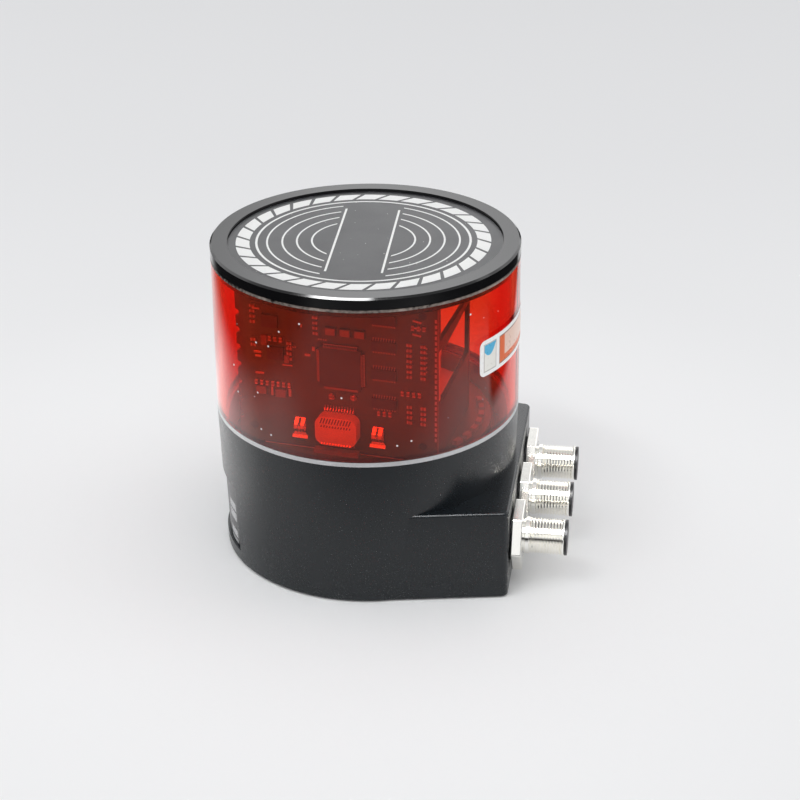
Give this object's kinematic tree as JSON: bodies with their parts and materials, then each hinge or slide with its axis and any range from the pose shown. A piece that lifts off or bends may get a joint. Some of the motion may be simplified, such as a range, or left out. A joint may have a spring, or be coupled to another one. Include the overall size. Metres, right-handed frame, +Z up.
{
  "type": "scanning lidar sensor",
  "caption": "Round scanning lidar: black die-cast base with a side connector block, red window tube, flat cap, and a motor-driven scan head that spins behind the window.",
  "frame": {"origin": "on the scan axis at the underside of the base, the centre of the mounting hole circle", "axes": "+Z up along the scan axis, +X out of the connectors"},
  "size_m": [0.1192, 0.1, 0.1067],
  "materials": {
    "housing_black": "satin black fine-grain paint on die-cast aluminium",
    "film_black": "matt black film",
    "trim_silver": "satin",
    "window_red": "clear red polycarbonate, polished",
    "seal_pale": "pale sealing bead",
    "cap_black": "polished black",
    "label_grey": "dark printed film",
    "sticker_white": "coated white film",
    "nickel": "nickel plated brass",
    "insert_black": "moulded",
    "contact_gold": "gold plated",
    "rubber_black": "matt",
    "board_green": "solder mask",
    "chip_black": "moulded epoxy",
    "ferrite_grey": "ferrite",
    "capacitor_can": "drawn can",
    "screw_steel": "zinc plated",
    "deck_aluminium": "dark anodised",
    "bearing_steel": "ground",
    "core_steel": "laminated",
    "copper": "enamelled wire",
    "magnet_grey": "nickel coated",
    "turntable_black": "black anodised",
    "encoder_film": "reflective code ring",
    "passive_tan": "ceramic",
    "socket_cream": "moulded",
    "clip_tin": "tin plated",
    "bracket_black": "glass-filled moulding",
    "lens_glass": "coated",
    "weight_brass": "machined"
  },
  "bodies": {
    "housing": {"base_housing": "housing_black", "nameplate": "film_black", "trim_ring": "trim_silver", "window": "window_red", "cap_seal": "seal_pale", "top_cap": "cap_black", "top_label": "label_grey", "window_sticker": "sticker_white", "connector_shell_front": "nickel", "connector_insert_front": "insert_black", "connector_shell_middle": "nickel", "connector_insert_middle": "insert_black", "connector_shell_rear": "nickel", "connector_insert_rear": "insert_black", "connector_contacts": "contact_gold", "connector_seals": "rubber_black", "connector_lock_nuts": "nickel", "connector_board": "board_green", "board_link_header": "insert_black", "main_board": "board_green", "main_processor": "chip_black", "network_magnetics": "chip_black", "power_inductor": "ferrite_grey", "power_capacitors": "capacitor_can", "main_board_screws": "screw_steel", "deck_plate": "deck_aluminium", "deck_screws": "screw_steel", "upper_bearing_outer": "bearing_steel", "lower_bearing_outer": "bearing_steel", "motor_stator": "core_steel", "motor_windings": "copper", "deck_power_coil": "copper", "encoder_sensor": "chip_black"},
    "scan_head": {"shaft": "bearing_steel", "upper_bearing_inner": "bearing_steel", "lower_bearing_inner": "bearing_steel", "motor_bell": "bearing_steel", "motor_magnets": "magnet_grey", "turntable": "turntable_black", "head_power_coil": "copper", "encoder_ring": "encoder_film", "round_board": "board_green", "round_board_parts": "passive_tan", "strip_socket": "socket_cream", "head_board": "board_green", "head_screws": "screw_steel", "head_processor": "chip_black", "head_chips": "chip_black", "head_passives": "passive_tan", "head_connector": "socket_cream", "board_clips": "clip_tin", "optics_bracket": "bracket_black", "bracket_screws": "screw_steel", "receiver_barrel": "bracket_black", "receiver_lens": "lens_glass", "receiver_board": "board_green", "emitter_barrel": "bracket_black", "emitter_lens": "lens_glass", "laser_board": "board_green", "balance_weight": "weight_brass"}
  },
  "joints": [
    {"name": "head_spin", "type": "hinge", "parent": "housing", "child": "scan_head", "pos_m": [0, 0, 0.0438], "axis": [0, 0, 1], "continuous": true}
  ]
}
